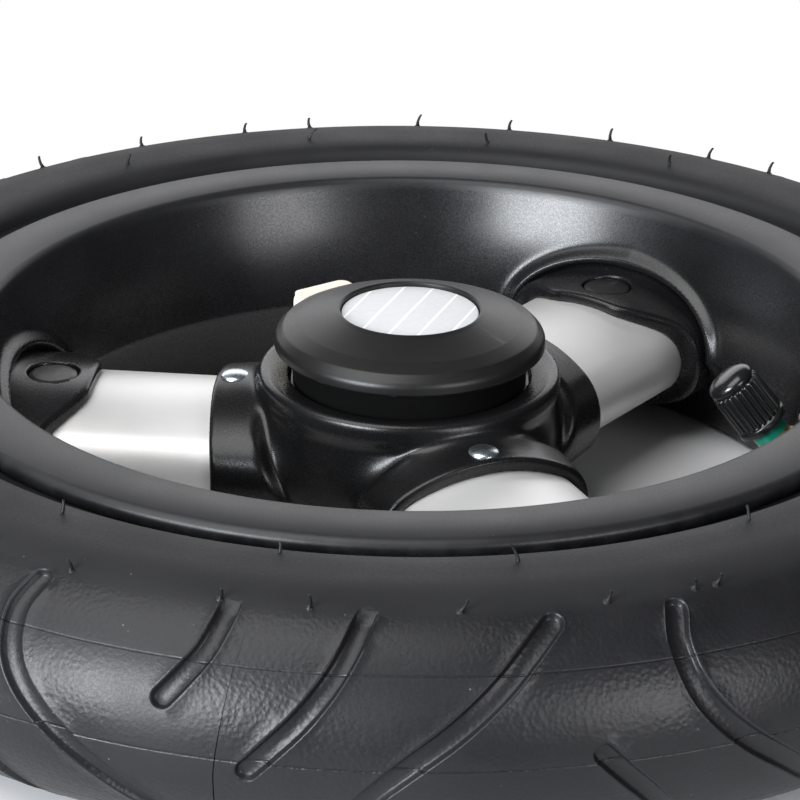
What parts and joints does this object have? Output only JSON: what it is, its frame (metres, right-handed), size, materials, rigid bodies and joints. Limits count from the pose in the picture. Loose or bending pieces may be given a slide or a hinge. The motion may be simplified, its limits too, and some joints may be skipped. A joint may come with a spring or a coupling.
{
  "type": "pushchair wheel",
  "caption": "Air-filled pushchair wheel with broad oval tube spokes, quick-release hub with a domed cap and push button, ball bearings, rim, tyre, tube and bent valve.",
  "frame": {"origin": "hub centre on the axle's axis, in the tyre's middle plane", "axes": "+Z is the spin axis and points out of the cap face, so the wheel lies flat; -Z is the way the axle pulls out; +X and +Y lie in the wheel's plane, with the valve near +X"},
  "size_m": [0.302, 0.302, 0.0549],
  "materials": {
    "tyre": "satin grained black rubber",
    "tube": "smooth butyl rubber",
    "rim_tape": "matte strip",
    "rim": "satin moulded black",
    "spokes": "satin silver paint",
    "plugs": "satin black plug",
    "rivets": "bright zinc",
    "hub": "satin moulded black",
    "bearing_steel": "ground steel",
    "balls": "polished steel",
    "cages": "pressed brass",
    "seals": "matte black rubber",
    "retaining_steel": "phosphated spring steel",
    "housing": "moulded black",
    "screws": "zinc plated",
    "release": "ivory moulded",
    "springs": "spring wire",
    "cap": "satin moulded black",
    "reflector": "smooth white reflector disc",
    "valve_brass": "bright brass",
    "valve_band": "green band",
    "valve_cap": "glossy ribbed black"
  },
  "bodies": {
    "axle_core": {"bearing_inner_races": "bearing_steel", "axle_spacer": "bearing_steel"},
    "wheel": {"tyre": "tyre", "inner_tube": "tube", "rim_tape": "rim_tape", "rim": "rim", "spoke_1": "spokes", "spoke_2": "spokes", "spoke_3": "spokes", "rim_pins": "plugs", "hub_rivets": "rivets", "hub_shell": "hub", "bearing_outer_races": "bearing_steel", "bearing_seals": "seals", "retaining_ring": "retaining_steel", "latch_housing": "housing", "housing_screws": "screws", "latch_spring": "springs", "hub_cap": "cap", "reflector": "reflector", "valve_stem": "valve_brass", "valve_band": "valve_band", "valve_core": "valve_brass", "valve_spring": "springs"},
    "ball_cage": {"bearing_balls": "balls", "bearing_cages": "cages"},
    "release": {"latch_slider": "release"},
    "valve_pin": {"valve_pin": "valve_brass"},
    "valve_cap": {"valve_cap": "valve_cap"}
  },
  "joints": [
    {"name": "wheel_spin", "type": "hinge", "parent": "axle_core", "child": "wheel", "pos_m": [0, 0, 0], "axis": [0, 0, 1], "continuous": true},
    {"name": "cage_spin", "type": "hinge", "parent": "axle_core", "child": "ball_cage", "pos_m": [0, 0, 0], "axis": [0, 0, 1], "continuous": true},
    {"name": "release_press", "type": "slide", "parent": "wheel", "child": "release", "axis": [0.5807, -0.8141, 0], "range_m": [0, 0.004], "stiffness_N_per_m": 900, "springref_m": -0.002, "deforming": ["latch_spring"]},
    {"name": "valve_pin_press", "type": "slide", "parent": "wheel", "child": "valve_pin", "axis": [0.6239, -0.0403, -0.7804], "range_m": [0, 0.0012], "stiffness_N_per_m": 600, "springref_m": -0.001, "deforming": ["valve_spring"]},
    {"name": "valve_cap_pull", "type": "slide", "parent": "wheel", "child": "valve_cap", "axis": [-0.6239, 0.0403, 0.7804], "range_m": [0, 0.014]}
  ],
  "couplings": [
    {"joint": "cage_spin", "follows": "wheel_spin", "ratio": 0.619}
  ]
}
